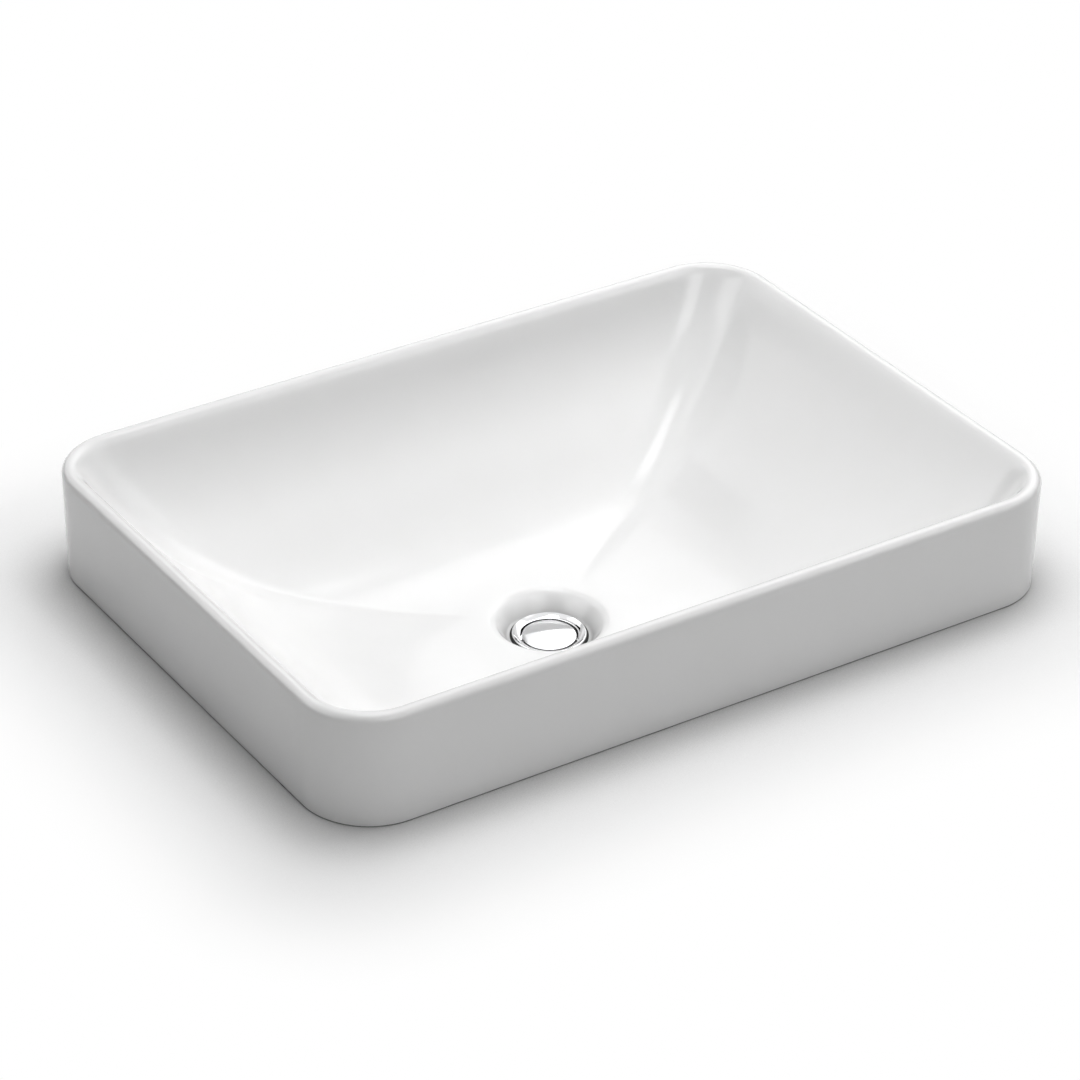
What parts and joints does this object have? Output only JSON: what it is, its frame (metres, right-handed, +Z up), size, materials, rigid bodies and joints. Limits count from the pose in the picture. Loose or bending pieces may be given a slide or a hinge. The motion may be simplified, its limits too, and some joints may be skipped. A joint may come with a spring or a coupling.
{
  "type": "countertop basin",
  "caption": "Rectangular glazed basin that drops through a counter cut-out, with creased bowl, round sump and a push-down stopper drain.",
  "frame": {"origin": "on the counter's top plane, where the drain's axis crosses it", "axes": "+X along the basin's long side, to the right as seen from the front; +Y to the back; +Z up, out of the bowl"},
  "size_m": [0.578, 0.409, 0.2932],
  "materials": {
    "glazed_china": "glossy white glaze",
    "chromed_brass": "polished chrome plate on brass",
    "plain_brass": "turned, unplated",
    "stainless_steel": "satin",
    "black_rubber": "matt",
    "grey_rubber": "matt",
    "natural_plastic": "natural acetal"
  },
  "bodies": {
    "basin_assembly": {"basin": "glazed_china", "drain_body": "chromed_brass", "flange_gasket": "black_rubber", "lower_gasket": "black_rubber", "friction_washer": "natural_plastic", "locknut": "plain_brass", "tailpiece": "chromed_brass", "tailpiece_seal": "grey_rubber", "cartridge_sleeve": "plain_brass", "cartridge_spring": "stainless_steel", "cartridge_plug": "plain_brass", "collar_seal": "black_rubber", "stem_wiper": "black_rubber"},
    "stopper": {"stopper_cap": "chromed_brass", "stopper_seal": "black_rubber", "seal_retainer": "stainless_steel", "stopper_post": "stainless_steel", "jam_nut": "stainless_steel", "plunger": "natural_plastic"},
    "latch_rotor": {"rotor": "natural_plastic"}
  },
  "joints": [
    {"name": "stopper_slide", "type": "slide", "parent": "basin_assembly", "child": "stopper", "axis": [0, 0, 1], "range_m": [-0.001, 0.009], "deforming": ["cartridge_spring"]},
    {"name": "rotor_index", "type": "hinge", "parent": "stopper", "child": "latch_rotor", "pos_m": [0, 0, -0.0861], "axis": [0, 0, 1], "range_deg": [0, 120]}
  ]
}
